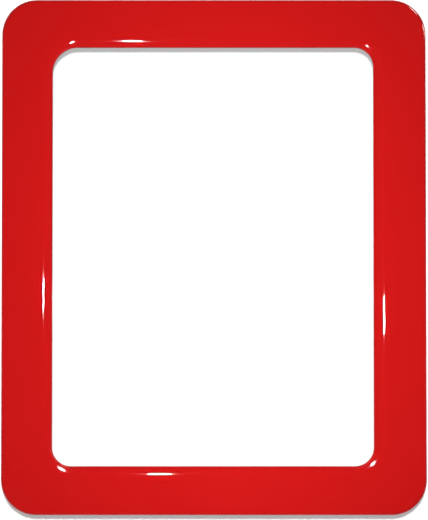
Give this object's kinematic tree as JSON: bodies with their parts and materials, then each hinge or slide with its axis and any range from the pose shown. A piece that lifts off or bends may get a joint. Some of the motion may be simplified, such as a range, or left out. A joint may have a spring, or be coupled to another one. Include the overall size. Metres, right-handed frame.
{
  "type": "magnetic document pocket",
  "caption": "Flat glossy frame with rounded corners round a clear pocket for a letter-size sheet, held to steel by flexible magnet strips behind its rails.",
  "frame": {"origin": "middle of the plane that the magnet strips touch, below the centre of the frame's outline", "axes": "X to the right and Y towards the sheet's top edge as seen from the front, Z out of the front face"},
  "size_m": [0.277, 0.336, 0.0046],
  "materials": {
    "gloss_frame": "smooth high gloss",
    "clear_sheet": "clear and smooth",
    "clear_tape": "cloudy film",
    "magnet_rubber": "matt, finely ribbed along the strip",
    "white_foam": "matt foam"
  },
  "bodies": {
    "root": {"front_frame": "gloss_frame", "window_sheet": "clear_sheet", "back_sheet": "clear_sheet", "pocket_tape_left": "clear_tape", "pocket_tape_right": "clear_tape", "pocket_tape_bottom": "clear_tape", "magnet_strip_top": "magnet_rubber", "magnet_strip_bottom": "magnet_rubber", "magnet_strip_left": "magnet_rubber", "magnet_strip_right": "magnet_rubber", "foam_tape_top": "white_foam", "foam_tape_bottom": "white_foam", "foam_tape_left": "white_foam", "foam_tape_right": "white_foam"}
  },
  "joints": []
}
